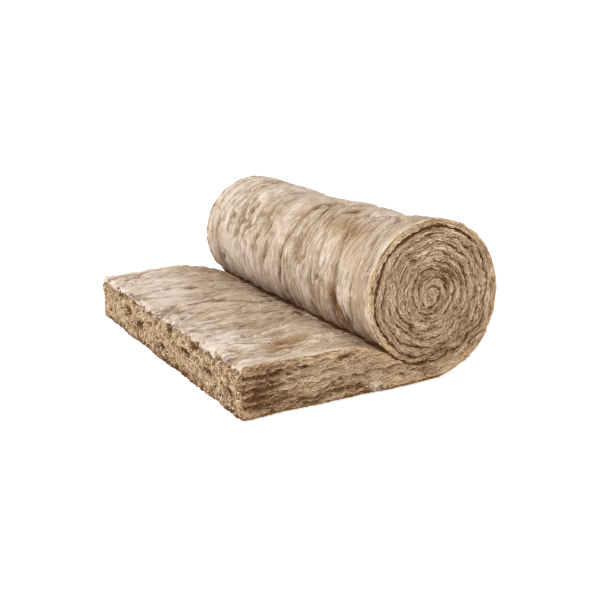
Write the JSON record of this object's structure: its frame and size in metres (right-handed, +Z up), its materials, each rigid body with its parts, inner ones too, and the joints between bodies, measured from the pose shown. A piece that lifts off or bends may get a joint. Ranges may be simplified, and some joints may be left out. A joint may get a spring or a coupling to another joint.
{
  "type": "insulation roll",
  "caption": "Roll of brown mineral wool loft insulation, partly unrolled: a thick flat tail runs under and round the squeezed spiral roll.",
  "frame": {"origin": "on the floor, in the middle of the footprint", "axes": "+X along the blanket from its cut end to the roll, +Y along the roll's axis, which is the blanket's width, +Z up"},
  "size_m": [0.8399, 1.14, 0.48],
  "materials": {
    "wool": "matt fibrous wool"
  },
  "bodies": {
    "root": {"wool_blanket": "wool"}
  },
  "joints": []
}
